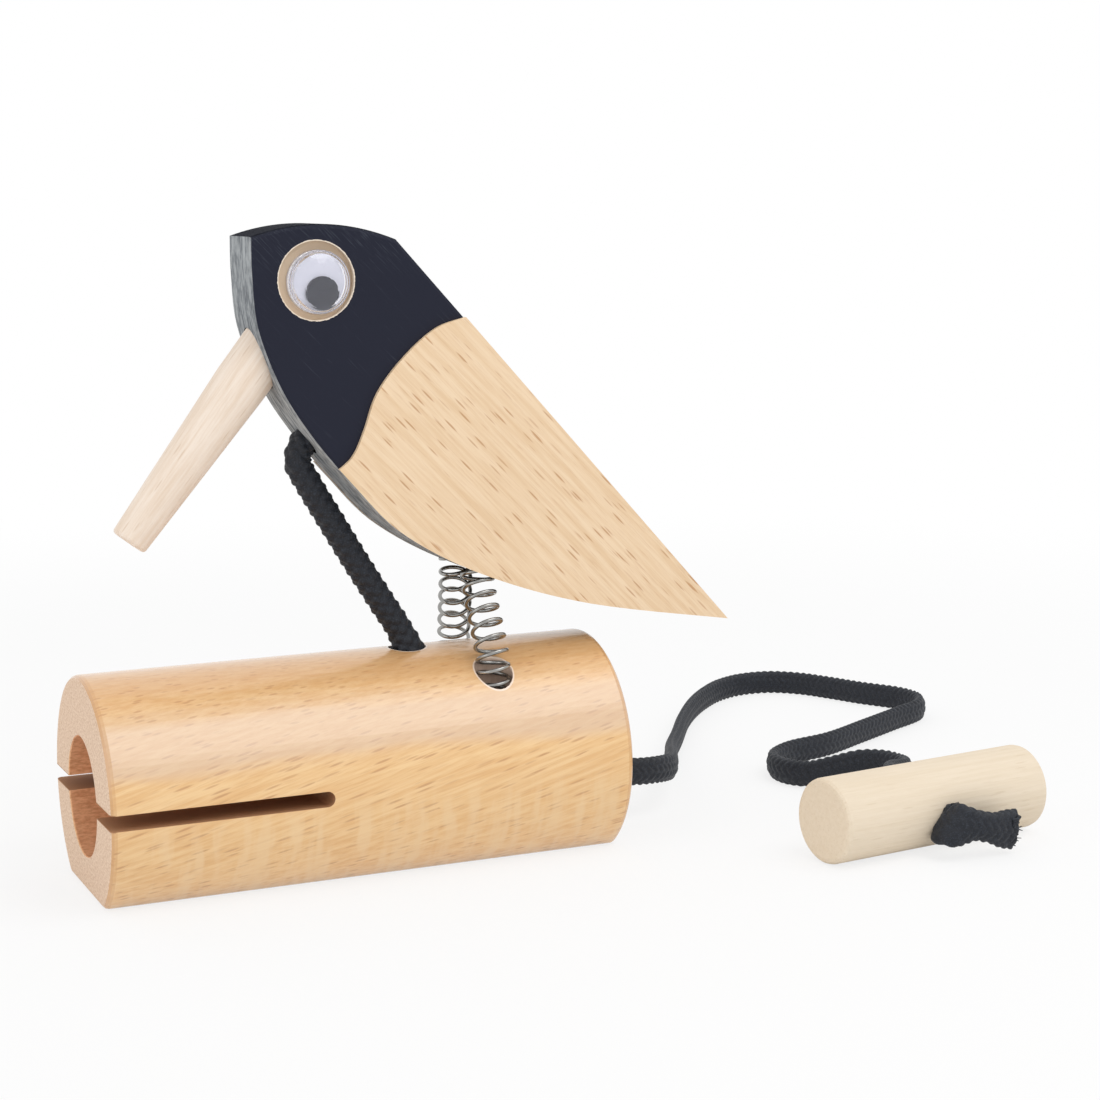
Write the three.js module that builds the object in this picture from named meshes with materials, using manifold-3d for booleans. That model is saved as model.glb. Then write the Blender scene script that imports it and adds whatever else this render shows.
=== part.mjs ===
// A wooden woodpecker knocker: a flat bird on two springs over a hollow tone block, worked by a pull cord.
// Millimetres, +Z up. The origin is the middle of the block's flat sole, and the bird looks along -X.
import * as THREE from 'three';
import { mergeVertices } from 'three/addons/utils/BufferGeometryUtils.js';
import Module from 'manifold-3d';

// Tone block: round stock with a flat sole, bored and slit from its front end
const BLOCK_LENGTH = 91;
const BLOCK_DIAMETER = 40;
const SOLE_WIDTH = 23.7;
const SOLE_CORNER_ROUND = 2;
const BLOCK_EDGE_ROUND = 1;
const BORE_DIAMETER = 20;
const BORE_DEPTH = 45;
const BORE_LIP = 0.2;
const SLIT_HEIGHT = 2.6;
const SLIT_LENGTH = 37;

// Cord and the holes that lead it down through the block and out of its rear end
const CORD_DIAMETER = 4.2;
const CORD_HOLE_DIAMETER = 6.6;
const CORD_HOLE_FROM_REAR = 33.8;
const CORD_DUCT_HEIGHT = 11.2;
const CORD_BEND = 5;
const CORD_SLIDE_ROOM = 1.6;

// Springs between the block and the bird
const SPRING_DIAMETER = 6;
const SPRING_WIRE = 0.7;
const SPRING_PITCH = { left: 2.26, right: 2.38 };
const SPRING_FROM_REAR = 22.5;
const SPRING_FOOT_SPREAD = 21.9;
const SPRING_HEAD_SPREAD = 6.2;
const SPRING_FOOT_SHIFT = { left: 0.3, right: 1.6 };
const SPRING_HEAD_SHIFT = { left: 0.6, right: -0.8 };
const SPRING_START_DEGREES = { left: 184, right: 68 };
const SPRING_HOLE_DEPTH = 8;
const SPRING_CLEARANCE = 0.3;
const SPRING_LEAN_BELOW_RIM = 1.6;
const SPRING_LEAN_ABOVE_SEAT = 1.1;

// Bird: a flat core with a thin wing panel on each side, its profile measured from its seat on the springs
const BIRD_LIFT = 12.8;
const BIRD_THICKNESS = 12.5;
const BIRD_EDGE_ROUND = 0.7;
const SPRING_SLOT_DEPTH = 5;
const WING_THICKNESS = 0.8;
const CROWN_FRONT = [-38.9, 57.9];
const CROWN_BACK = [-13.8, 57];
const CROWN_RISE = 2.3;
const TAIL_TIP = [47.4, -11.7];
const BREAST = [
  [-38.9, 51.6],
  [-38.1, 42.9],
  [-34.5, 33.1],
  [-29.4, 24.9],
  [-22.7, 16.7],
  [-14.1, 7.9],
  [0, 0],
  [20, -6.7],
];
const WING_EDGE = [
  [6, 45.5],
  [-2.1, 43.8],
  [-7.7, 42],
  [-13.5, 37.3],
  [-18.1, 31.7],
  [-20.4, 25.9],
  [-22.3, 21.9],
  [-24.7, 19.6],
  [-31, 15.5],
];

// Beak: a dowel let into the front edge and tapered to its tip
const BEAK_ROOT_HEIGHT = 37.6;
const BEAK_DROP_DEGREES = 51.7;
const BEAK_LENGTH = 36.8;
const BEAK_ROOT_DIAMETER = 9;
const BEAK_TIP_DIAMETER = 6.3;
const BEAK_PARALLEL = 5;
const BEAK_SPIGOT = 7;
const BEAK_TIP_ROUND = 0.6;
const BEAK_CLEARANCE = 0.15;

// Chest cord hole in the front edge
const CHEST_HOLE_HEIGHT = 23.5;
const CHEST_HOLE_DEPTH = 8;
const CHEST_CORD_CLEARANCE = 0.3;
const CHEST_CORD_REACH = 3;
const CHEST_CORD_BEND = 2.5;
const CHEST_CORD_DIP = 1.1;
const CHEST_CORD_SINK = 6.6;

// Eyes: a white cup, a loose pupil and a clear dome, in a drilled recess on each side of the head
const EYE_CENTRE = [-27.9, 50.6];
const EYE_RECESS_DIAMETER = 13;
const EYE_RECESS_DEPTH = 1.5;
const EYE_SHIFT = [0.45, -0.25];
const EYE_DIAMETER = 10.5;
const EYE_CUP_THICKNESS = 0.8;
const DOME_HEIGHT = 2.8;
const DOME_SKIRT = 0.9;
const DOME_WALL = 0.5;
const PUPIL_DIAMETER = 5.4;
const PUPIL_THICKNESS = 0.5;
const PUPIL_HANG_DEGREES = -73;
const PUPIL_CLEARANCE = 0.2;

// Toggle: a short dowel on the far end of the pull cord, lying on the same surface as the block
const TOGGLE_DIAMETER = 14.8;
const TOGGLE_LENGTH = 44.3;
const TOGGLE_EDGE_ROUND = 1;
const TOGGLE_PLACE = [93.35, -36.57];
const TOGGLE_TURN_DEGREES = 7.74;
const TOGGLE_HOLE_CLEARANCE = 0.4;
const TOGGLE_HOLE_DROP_DEGREES = 14;

// Gaps between pieces that touch or are glued, and the overshoot of a cut
const SEAT_GAP = 0.3;
const GLUE_GAP = 0.05;
const CUT_OVERSHOOT = 1;

// Route of the free pull cord: out of the block's rear end, down to the surface and over it to the toggle
const PULL_ROUTE = [
  [39.5, 0, 10.3],
  [45.5, 0, 10.3],
  [50.8, 0, 9.6],
  [55.9, 0.2, 9],
  [60.5, 1.8, 8.5],
  [64.3, 5, 7.8],
  [67.4, 9.8, 6.9],
  [70.6, 16.2, 6],
  [74.6, 24.4, 4.6],
  [79.4, 33.8, 3.4],
  [86.4, 45.4, 2.6],
  [94.2, 58, 2.55],
  [101.8, 68.6, 2.55],
  [108.5, 76.2, 2.55],
  [115.2, 82.1, 2.55],
  [122.4, 85.4, 2.55],
  [129.4, 85, 2.55],
  [134.7, 80.6, 2.55],
  [138.4, 73.8, 2.55],
  [141.9, 65.8, 2.55],
  [146.7, 56.7, 2.55],
  [147, 50.6, 2.55],
  [144.2, 45.8, 2.55],
  [135, 40.4, 2.55],
  [123, 33.6, 2.55],
  [110.6, 26.8, 2.55],
  [100.2, 23.7, 2.55],
  [94.7, 19.7, 2.55],
  [92.5, 14.9, 2.55],
  [92.9, 10.2, 2.55],
  [95.3, 6.1, 2.9],
  [98.9, 3.1, 4.2],
  [102.7, 0.3, 5.5],
  [105.3, -3.5, 6],
  [106, -8.5, 6.2],
  [103.9, -13.9, 6.9],
  [98.6, -18.7, 8.2],
  [94.4, -23.1, 9.3],
];

// Route of the cord's short end: from the toggle's hole round to its frayed tip
const TAIL_ROUTE = [
  [94.9, -46.4, 5.9],
  [96.7, -48, 5.8],
  [99.4, -48.1, 5.1],
  [102, -47.7, 4.5],
  [104.4, -47.3, 4.1],
];

const wasm = await Module();
wasm.setup();

// Sizes that follow from the driving ones
const blockRadius = BLOCK_DIAMETER / 2;
const axisHeight = Math.sqrt(blockRadius ** 2 - (SOLE_WIDTH / 2) ** 2);
const blockTop = axisHeight + blockRadius;
const rearX = BLOCK_LENGTH / 2;
const frontX = -BLOCK_LENGTH / 2;
const cordRadius = CORD_DIAMETER / 2;
const cordHoleRadius = CORD_HOLE_DIAMETER / 2;
const cordHoleX = rearX - CORD_HOLE_FROM_REAR;
const ductCordHeight = CORD_DUCT_HEIGHT - cordHoleRadius + cordRadius + SEAT_GAP;
const springX = rearX - SPRING_FROM_REAR;
const springHoleRadius = SPRING_DIAMETER / 2 + SPRING_CLEARANCE;
const springFootY = SPRING_FOOT_SPREAD / 2;
const springHeadY = SPRING_HEAD_SPREAD / 2;
const springHoleFloor = blockHeightAt(springFootY) - SPRING_HOLE_DEPTH;
const birdSeat = blockTop + BIRD_LIFT;
const faceY = BIRD_THICKNESS / 2;
const beakRadius = BEAK_ROOT_DIAMETER / 2;
const eyeRadius = EYE_DIAMETER / 2;
const eyeFloorY = faceY - EYE_RECESS_DEPTH;
const toggleRadius = TOGGLE_DIAMETER / 2;

// Height of the block's round surface at a distance from its middle plane
function blockHeightAt(y) {
  return axisHeight + Math.sqrt(blockRadius ** 2 - y ** 2);
}

function toSolid(geometry) {
  const bare = geometry.clone();
  bare.deleteAttribute('normal');
  bare.deleteAttribute('uv');
  const merged = mergeVertices(bare, 1e-4);
  const mesh = new wasm.Mesh({
    numProp: 3,
    vertProperties: new Float32Array(merged.attributes.position.array),
    triVerts: new Uint32Array(merged.index.array),
  });
  return new wasm.Manifold(mesh);
}

function toGeometry(solid) {
  const mesh = solid.getMesh();
  const geometry = new THREE.BufferGeometry();
  geometry.setAttribute('position', new THREE.BufferAttribute(mesh.vertProperties, 3));
  geometry.setIndex(new THREE.BufferAttribute(mesh.triVerts, 1));
  geometry.computeVertexNormals();
  return geometry;
}

function cut(geometry, cutters) {
  const solid = cutters.reduce((left, cutter) => left.subtract(toSolid(cutter)), toSolid(geometry));
  return toGeometry(solid);
}

// A body of revolution about +Z from pairs of radius and height, both ends on the axis
function turned(profile, segments) {
  const points = profile.map(([radius, height]) => new THREE.Vector2(radius, height));
  return new THREE.LatheGeometry(points, segments).rotateX(Math.PI / 2);
}

function rod(radius, from, to, segments) {
  return turned([[0, from], [radius, from], [radius, to], [0, to]], segments);
}

// Points of a quarter round on the lower (-1) or upper (1) edge of a turned profile
function quarterRound(radius, height, round, edge) {
  return [0, 1, 2, 3].map((step) => {
    const angle = (step / 3) * (Math.PI / 2);
    const turn = edge > 0 ? angle : Math.PI / 2 - angle;
    return [radius - round * (1 - Math.cos(turn)), height - edge * round * (1 - Math.sin(turn))];
  });
}

// Lays a body of revolution along the line from one point to another
function along(geometry, from, to) {
  const direction = to.clone().sub(from).normalize();
  const turn = new THREE.Quaternion().setFromUnitVectors(new THREE.Vector3(0, 0, 1), direction);
  return geometry.applyQuaternion(turn).translate(from.x, from.y, from.z);
}

// Extrudes a profile drawn in X and Z to both sides of the plane Y = 0
function plate(shape, thickness, round) {
  const geometry = new THREE.ExtrudeGeometry(shape, {
    depth: thickness - 2 * round,
    curveSegments: 24,
    bevelEnabled: round > 0,
    bevelThickness: round,
    bevelSize: round,
    bevelOffset: -round,
    bevelSegments: 2,
  });
  return geometry.rotateX(Math.PI / 2).translate(0, thickness / 2 - round, 0);
}

// A round tube along a curve
function cordTube(curve, steps) {
  const section = new THREE.Shape().absarc(0, 0, cordRadius, 0, 2 * Math.PI);
  return new THREE.ExtrudeGeometry(section, { steps, curveSegments: 4, extrudePath: curve });
}

// A path through corners, each rounded by a curve that starts the given distance before it
function roundedPath(corners, trims) {
  const path = new THREE.CurvePath();
  let start = corners[0];
  for (let i = 1; i < corners.length - 1; i += 1) {
    const back = corners[i - 1].clone().sub(corners[i]).setLength(trims[i - 1]);
    const onward = corners[i + 1].clone().sub(corners[i]).setLength(trims[i - 1]);
    const before = corners[i].clone().add(back);
    const after = corners[i].clone().add(onward);
    path.add(new THREE.LineCurve3(start, before));
    path.add(new THREE.QuadraticBezierCurve3(before, corners[i].clone(), after));
    start = after;
  }
  path.add(new THREE.LineCurve3(start, corners[corners.length - 1]));
  return path;
}

// A wire swept through points, closed at both ends
function wireTube(points, radius, sides) {
  const count = points.length;
  const tangents = points.map((point, i) => {
    const from = points[Math.max(i - 1, 0)];
    const to = points[Math.min(i + 1, count - 1)];
    return to.clone().sub(from).normalize();
  });
  const positions = [];
  let normal = new THREE.Vector3(1, 0, 0).cross(tangents[0]).normalize();
  for (let i = 0; i < count; i += 1) {
    normal = normal.clone().addScaledVector(tangents[i], -normal.dot(tangents[i])).normalize();
    const binormal = tangents[i].clone().cross(normal);
    for (let k = 0; k < sides; k += 1) {
      const angle = (2 * Math.PI * k) / sides;
      const spot = points[i].clone();
      spot.addScaledVector(normal, radius * Math.cos(angle));
      spot.addScaledVector(binormal, radius * Math.sin(angle));
      positions.push(spot.x, spot.y, spot.z);
    }
  }
  const index = [];
  for (let i = 0; i < count - 1; i += 1) {
    for (let k = 0; k < sides; k += 1) {
      const a = i * sides + k;
      const b = i * sides + ((k + 1) % sides);
      index.push(a, b, a + sides, b, b + sides, a + sides);
    }
  }
  const last = (count - 1) * sides;
  for (let k = 1; k < sides - 1; k += 1) {
    index.push(0, k + 1, k, last, last + k, last + k + 1);
  }
  const geometry = new THREE.BufferGeometry();
  geometry.setAttribute('position', new THREE.Float32BufferAttribute(positions, 3));
  geometry.setIndex(index);
  geometry.computeVertexNormals();
  return geometry;
}

// The block's section: a round with a flat below, and a small round at each of the flat's corners
function blockSection() {
  const round = SOLE_CORNER_ROUND;
  const drop = axisHeight - round;
  const cornerY = Math.sqrt((blockRadius - round) ** 2 - drop ** 2);
  const meet = Math.atan2(drop, cornerY);
  const arc = (y, z, radius, from, to) => new THREE.EllipseCurve(y, z, radius, radius, from, to);
  return new THREE.Shape([
    ...arc(cornerY, round, round, -Math.PI / 2, -meet).getPoints(5),
    ...arc(0, axisHeight, blockRadius, -meet, Math.PI + meet).getPoints(96).slice(1),
    ...arc(-cornerY, round, round, Math.PI + meet, 1.5 * Math.PI).getPoints(5).slice(1),
  ]);
}

function blockGeometry() {
  const body = new THREE.ExtrudeGeometry(blockSection(), {
    depth: BLOCK_LENGTH - 2 * BLOCK_EDGE_ROUND,
    bevelThickness: BLOCK_EDGE_ROUND,
    bevelSize: BLOCK_EDGE_ROUND,
    bevelOffset: -BLOCK_EDGE_ROUND,
    bevelSegments: 3,
  });
  body.translate(0, 0, frontX + BLOCK_EDGE_ROUND);
  body.applyMatrix4(new THREE.Matrix4().makeBasis(
    new THREE.Vector3(0, 1, 0),
    new THREE.Vector3(0, 0, 1),
    new THREE.Vector3(1, 0, 0),
  ));
  return cut(body, [boreCutter(), slitCutter(), ...cordHoleCutters(), ...springHoleCutters()]);
}

function boreCutter() {
  const radius = BORE_DIAMETER / 2;
  const profile = [
    [0, -CUT_OVERSHOOT],
    [radius + BORE_LIP, -CUT_OVERSHOOT],
    [radius + BORE_LIP, 0],
    [radius, BORE_LIP],
    [radius, BORE_DEPTH],
    [0, BORE_DEPTH],
  ];
  const front = new THREE.Vector3(frontX, 0, axisHeight);
  return along(turned(profile, 48), front, new THREE.Vector3(rearX, 0, axisHeight));
}

function slitCutter() {
  const half = SLIT_HEIGHT / 2;
  const end = frontX + SLIT_LENGTH - half;
  const section = new THREE.Shape();
  section.moveTo(frontX - CUT_OVERSHOOT, axisHeight - half);
  section.lineTo(end, axisHeight - half);
  section.absarc(end, axisHeight, half, -Math.PI / 2, Math.PI / 2, false);
  section.lineTo(frontX - CUT_OVERSHOOT, axisHeight + half);
  return plate(section, BLOCK_DIAMETER + 2 * CUT_OVERSHOOT, 0);
}

function cordHoleCutters() {
  const floor = CORD_DUCT_HEIGHT - cordHoleRadius;
  const shaft = rod(cordHoleRadius, floor, blockTop + CUT_OVERSHOOT, 24).translate(cordHoleX, 0, 0);
  const inner = new THREE.Vector3(cordHoleX, 0, CORD_DUCT_HEIGHT);
  const outer = new THREE.Vector3(rearX + CUT_OVERSHOOT, 0, CORD_DUCT_HEIGHT);
  const duct = along(rod(cordHoleRadius, 0, inner.distanceTo(outer), 24), inner, outer);
  return [shaft, duct];
}

function springHoleCutters() {
  return [['left', -1], ['right', 1]].map(([name, side]) => (
    rod(springHoleRadius, springHoleFloor, blockTop + CUT_OVERSHOOT, 24)
      .translate(springX + SPRING_FOOT_SHIFT[name], side * springFootY, 0)
  ));
}

// The bird's front and under side, from the crown round the breast to the tail
function breastCurve() {
  const points = [CROWN_FRONT, ...BREAST, TAIL_TIP];
  return new THREE.SplineCurve(points.map(([x, z]) => new THREE.Vector2(x, z)));
}

// Where the front edge passes a height, with its outward direction, in the bird's own plane
function frontEdgeAt(height) {
  const curve = breastCurve();
  let low = 0;
  let high = 1;
  for (let i = 0; i < 40; i += 1) {
    const middle = (low + high) / 2;
    if (curve.getPoint(middle).y > height) {
      low = middle;
    } else {
      high = middle;
    }
  }
  const spot = curve.getPoint(low);
  const run = curve.getTangent(low);
  return {
    point: new THREE.Vector3(spot.x, 0, spot.y),
    outward: new THREE.Vector3(run.y, 0, -run.x),
  };
}

function birdShape() {
  const crownMiddle = [
    (CROWN_FRONT[0] + CROWN_BACK[0]) / 2,
    (CROWN_FRONT[1] + CROWN_BACK[1]) / 2 + 2 * CROWN_RISE,
  ];
  const shape = new THREE.Shape();
  shape.moveTo(...TAIL_TIP);
  shape.lineTo(...CROWN_BACK);
  shape.quadraticCurveTo(...crownMiddle, ...CROWN_FRONT);
  breastCurve().getPoints(64).slice(1, -1).forEach((point) => shape.lineTo(point.x, point.y));
  return shape;
}

function birdBodyGeometry() {
  const headReach = Math.max(...Object.values(SPRING_HEAD_SHIFT).map(Math.abs));
  const slot = new THREE.BoxGeometry(
    2 * (springHoleRadius + headReach),
    BIRD_THICKNESS + 2 * CUT_OVERSHOOT,
    2 * SPRING_SLOT_DEPTH,
  );
  const recesses = [-1, 1].map((side) => (
    outwardRod(EYE_RECESS_DIAMETER / 2, eyeFloorY, faceY + CUT_OVERSHOOT, side, 48)
      .translate(EYE_CENTRE[0], 0, EYE_CENTRE[1])
  ));
  return cut(plate(birdShape(), BIRD_THICKNESS, BIRD_EDGE_ROUND), [
    slot,
    ...recesses,
    beakHoleCutter(),
    chestHoleCutter(),
  ]);
}

// A rod along Y between two distances from the bird's middle plane, on the left (-1) or right (1) side
function outwardRod(radius, from, to, side, segments) {
  return rod(radius, from, to, segments).rotateX((-side * Math.PI) / 2);
}

function beakDirection() {
  const drop = THREE.MathUtils.degToRad(BEAK_DROP_DEGREES);
  return new THREE.Vector3(-Math.cos(drop), 0, -Math.sin(drop));
}

function beakHoleCutter() {
  const root = frontEdgeAt(BEAK_ROOT_HEIGHT).point;
  const hole = rod(beakRadius + BEAK_CLEARANCE, -BEAK_SPIGOT - SEAT_GAP, 2 * beakRadius, 40);
  return along(hole, root, root.clone().add(beakDirection()));
}

function chestHoleCutter() {
  const edge = frontEdgeAt(CHEST_HOLE_HEIGHT);
  const hole = rod(cordRadius + CHEST_CORD_CLEARANCE, -CHEST_HOLE_DEPTH, CORD_DIAMETER, 24);
  return along(hole, edge.point, edge.point.clone().add(edge.outward));
}

// The part of the bird's profile behind the wing's leading edge
function wingRegion() {
  const edge = new THREE.SplineCurve(WING_EDGE.map(([x, z]) => new THREE.Vector2(x, z)));
  const behind = TAIL_TIP[0] + CUT_OVERSHOOT;
  const below = TAIL_TIP[1] - CUT_OVERSHOOT;
  const region = new THREE.Shape(edge.getPoints(48));
  region.lineTo(WING_EDGE[WING_EDGE.length - 1][0], below);
  region.lineTo(behind, below);
  region.lineTo(behind, WING_EDGE[0][1]);
  return region;
}

function wingGeometry(side) {
  const panel = toSolid(plate(birdShape(), WING_THICKNESS, 0));
  const region = toSolid(plate(wingRegion(), WING_THICKNESS + 2 * CUT_OVERSHOOT, 0));
  const offset = faceY + GLUE_GAP + WING_THICKNESS / 2;
  return toGeometry(panel.intersect(region)).translate(0, side * offset, 0);
}

function beakGeometry() {
  const root = frontEdgeAt(BEAK_ROOT_HEIGHT).point;
  const profile = [
    [0, -BEAK_SPIGOT],
    [beakRadius, -BEAK_SPIGOT],
    [beakRadius, BEAK_PARALLEL],
    ...quarterRound(BEAK_TIP_DIAMETER / 2, BEAK_LENGTH, BEAK_TIP_ROUND, 1),
    [0, BEAK_LENGTH],
  ];
  return along(turned(profile, 40), root, root.clone().add(beakDirection()));
}

// Eye pieces are turned about +Z with their back at zero, then set into the recess on their side
function seatEye(geometry, depth, side) {
  return geometry
    .translate(0, 0, eyeFloorY + depth)
    .rotateX((-side * Math.PI) / 2)
    .translate(EYE_CENTRE[0] + EYE_SHIFT[0], 0, EYE_CENTRE[1] + EYE_SHIFT[1]);
}

function eyeCupGeometry(side) {
  return seatEye(rod(eyeRadius, 0, EYE_CUP_THICKNESS, 32), GLUE_GAP, side);
}

function eyeDomeGeometry(side) {
  const arc = (radius, skirt, height, from, to) => Array.from({ length: 6 }, (_, i) => {
    const angle = THREE.MathUtils.lerp(from, to, i / 5);
    return [radius * Math.cos(angle), skirt + (height - skirt) * Math.sin(angle)];
  });
  const profile = [
    ...arc(eyeRadius - DOME_WALL, DOME_SKIRT, DOME_HEIGHT - DOME_WALL, Math.PI / 2, 0),
    [eyeRadius - DOME_WALL, 0],
    [eyeRadius, 0],
    ...arc(eyeRadius, DOME_SKIRT, DOME_HEIGHT, 0, Math.PI / 2),
  ];
  profile[0][0] = 0;
  profile[profile.length - 1][0] = 0;
  return seatEye(turned(profile, 32), 2 * GLUE_GAP + EYE_CUP_THICKNESS, side);
}

function pupilGeometry(side) {
  const reach = eyeRadius - DOME_WALL - PUPIL_CLEARANCE - PUPIL_DIAMETER / 2;
  const hang = THREE.MathUtils.degToRad(PUPIL_HANG_DEGREES);
  const lift = GLUE_GAP + EYE_CUP_THICKNESS + PUPIL_CLEARANCE;
  return seatEye(rod(PUPIL_DIAMETER / 2, 0, PUPIL_THICKNESS, 32), lift, side)
    .translate(reach * Math.cos(hang), 0, reach * Math.sin(hang));
}

// The middle line of a spring: upright in its hole, leaning in and upright again in the bird's slot
function springCentre(height, name, side) {
  const leanStart = blockHeightAt(springFootY - springHoleRadius) - SPRING_LEAN_BELOW_RIM;
  const leanEnd = birdSeat + SPRING_LEAN_ABOVE_SEAT;
  const lean = THREE.MathUtils.smoothstep(height, leanStart, leanEnd);
  const x = springX + THREE.MathUtils.lerp(SPRING_FOOT_SHIFT[name], SPRING_HEAD_SHIFT[name], lean);
  const y = THREE.MathUtils.lerp(springFootY, springHeadY, lean);
  return new THREE.Vector3(x, side * y, height);
}

function springPoints(name, side) {
  const stepsPerCurl = 8;
  const coilRadius = (SPRING_DIAMETER - SPRING_WIRE) / 2;
  const foot = springHoleFloor + SEAT_GAP;
  const head = birdSeat + SPRING_SLOT_DEPTH - SEAT_GAP;
  const low = foot + SPRING_WIRE;
  const high = head - SPRING_WIRE;
  const steps = Math.round(((high - low) / SPRING_PITCH[name]) * stepsPerCurl);
  const across = new THREE.Vector3(1, 0, 0);
  const start = THREE.MathUtils.degToRad(SPRING_START_DEGREES[name]);
  const points = [];
  for (let i = 0; i <= steps; i += 1) {
    const height = THREE.MathUtils.lerp(low, high, i / steps);
    const centre = springCentre(height, name, side);
    const above = springCentre(height + SPRING_WIRE, name, side);
    const rise = above.sub(springCentre(height - SPRING_WIRE, name, side));
    const aside = rise.normalize().cross(across);
    const angle = start + (2 * Math.PI * i) / stepsPerCurl;
    centre.addScaledVector(across, coilRadius * Math.cos(angle));
    centre.addScaledVector(aside, coilRadius * Math.sin(angle));
    points.push(centre);
  }
  const first = points[0].clone();
  const last = points[steps].clone();
  return [first.setZ(first.z - SPRING_WIRE), ...points, last.setZ(last.z + SPRING_WIRE)];
}

// The least gap of a wire to itself, between points at least three quarters of a curl apart
function leastGap(points, wire) {
  let least = Infinity;
  for (let i = 0; i < points.length; i += 1) {
    for (let k = i + 6; k < points.length; k += 1) {
      least = Math.min(least, points[i].distanceTo(points[k]));
    }
  }
  return least - wire;
}

function springGeometry(name, side) {
  const points = springPoints(name, side);
  console.log(`spring: least gap to itself ${leastGap(points, SPRING_WIRE).toFixed(2)} mm`);
  return wireTube(points, SPRING_WIRE / 2, 5);
}

// The cord from the bird's chest to the block's top hole
function chestCordGeometry() {
  const edge = frontEdgeAt(CHEST_HOLE_HEIGHT);
  const mouth = edge.point.clone().add(new THREE.Vector3(springX, 0, birdSeat));
  const shaftX = cordHoleX + (cordHoleRadius - cordRadius) / 2;
  const path = roundedPath([
    mouth.clone().addScaledVector(edge.outward, -CHEST_HOLE_DEPTH + SEAT_GAP),
    mouth.clone().addScaledVector(edge.outward, CHEST_CORD_REACH),
    new THREE.Vector3(shaftX, 0, blockTop - CHEST_CORD_DIP),
    new THREE.Vector3(shaftX, 0, blockTop - CHEST_CORD_SINK),
  ], [CHEST_CORD_BEND, CORD_BEND]);
  return cordTube(path, 60);
}

// The cord inside the block: down the shaft, round the bend and along the duct's floor
function ductCordGeometry() {
  const shaftX = cordHoleX + (cordHoleRadius - cordRadius) / 2;
  const path = roundedPath([
    new THREE.Vector3(shaftX, 0, blockTop - CHEST_CORD_SINK - SEAT_GAP),
    new THREE.Vector3(shaftX, 0, ductCordHeight),
    new THREE.Vector3(PULL_ROUTE[0][0] - CORD_SLIDE_ROOM, 0, ductCordHeight),
  ], [CORD_BEND]);
  return cordTube(path, 32);
}

function toggleAxis() {
  const turn = THREE.MathUtils.degToRad(TOGGLE_TURN_DEGREES);
  return new THREE.Vector3(Math.cos(turn), Math.sin(turn), 0);
}

function toggleMiddle() {
  return new THREE.Vector3(...TOGGLE_PLACE, toggleRadius + GLUE_GAP);
}

// The direction through the toggle's cross hole, away from the block's side
function toggleAcross() {
  const axis = toggleAxis();
  const drop = THREE.MathUtils.degToRad(TOGGLE_HOLE_DROP_DEGREES);
  return new THREE.Vector3(axis.y * Math.cos(drop), -axis.x * Math.cos(drop), -Math.sin(drop));
}

function toggleGeometry() {
  const half = TOGGLE_LENGTH / 2;
  const profile = [
    [0, -half],
    ...quarterRound(toggleRadius, -half, TOGGLE_EDGE_ROUND, -1),
    ...quarterRound(toggleRadius, half, TOGGLE_EDGE_ROUND, 1),
    [0, half],
  ];
  const middle = toggleMiddle();
  const body = along(turned(profile, 48), middle, middle.clone().add(toggleAxis()));
  const reach = toggleRadius + CUT_OVERSHOOT;
  const hole = rod(cordRadius + TOGGLE_HOLE_CLEARANCE, -reach, reach, 24);
  return cut(body, [along(hole, middle, middle.clone().add(toggleAcross()))]);
}

function pullCordGeometry() {
  const middle = toggleMiddle();
  const across = toggleAcross();
  const points = PULL_ROUTE.map((point) => new THREE.Vector3(...point));
  points.push(middle.clone().addScaledVector(across, -toggleRadius));
  points.push(middle.clone().addScaledVector(across, -SEAT_GAP / 2));
  const curve = new THREE.CatmullRomCurve3(points, false, 'centripetal');
  console.log(`pull cord: ${curve.getLength().toFixed(1)} mm to the middle of the toggle`);
  return cordTube(curve, 76);
}

function cordTailGeometry() {
  const middle = toggleMiddle();
  const across = toggleAcross();
  const points = [
    middle.clone().addScaledVector(across, SEAT_GAP / 2),
    middle.clone().addScaledVector(across, toggleRadius),
    ...TAIL_ROUTE.map((point) => new THREE.Vector3(...point)),
  ];
  return cordTube(new THREE.CatmullRomCurve3(points, false, 'centripetal'), 16);
}

function finish(color, roughness, metalness = 0) {
  return new THREE.MeshStandardMaterial({ color, roughness, metalness });
}

function clearFinish(color, roughness, opacity) {
  return new THREE.MeshStandardMaterial({ color, roughness, opacity, transparent: true });
}

function piece(name, geometry, material) {
  const mesh = new THREE.Mesh(geometry, material);
  mesh.name = name;
  return mesh;
}

const knocker = new THREE.Group();
const bird = new THREE.Group();
bird.position.set(springX, 0, birdSeat);
knocker.add(bird);

knocker.add(piece('tone_block', blockGeometry(), finish(0xe6bb83, 0.55)));
bird.add(piece('bird_body', birdBodyGeometry(), finish(0x2f323c, 0.5)));
bird.add(piece('beak', beakGeometry(), finish(0xefdcc2, 0.6)));
for (const [name, side] of [['left', -1], ['right', 1]]) {
  bird.add(piece(`wing_${name}`, wingGeometry(side), finish(0xebcfa6, 0.55)));
  bird.add(piece(`eye_cup_${name}`, eyeCupGeometry(side), finish(0xe4e4ec, 0.4)));
  bird.add(piece(`pupil_${name}`, pupilGeometry(side), finish(0x1c1d22, 0.3)));
  bird.add(piece(`eye_dome_${name}`, eyeDomeGeometry(side), clearFinish(0xffffff, 0.05, 0.25)));
  knocker.add(piece(`spring_${name}`, springGeometry(name, side), finish(0xb9bab8, 0.3, 1)));
}
knocker.add(piece('chest_cord', chestCordGeometry(), finish(0x23262c, 0.9)));
knocker.add(piece('duct_cord', ductCordGeometry(), finish(0x23262c, 0.9)));
knocker.add(piece('pull_cord', pullCordGeometry(), finish(0x23262c, 0.9)));
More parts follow.
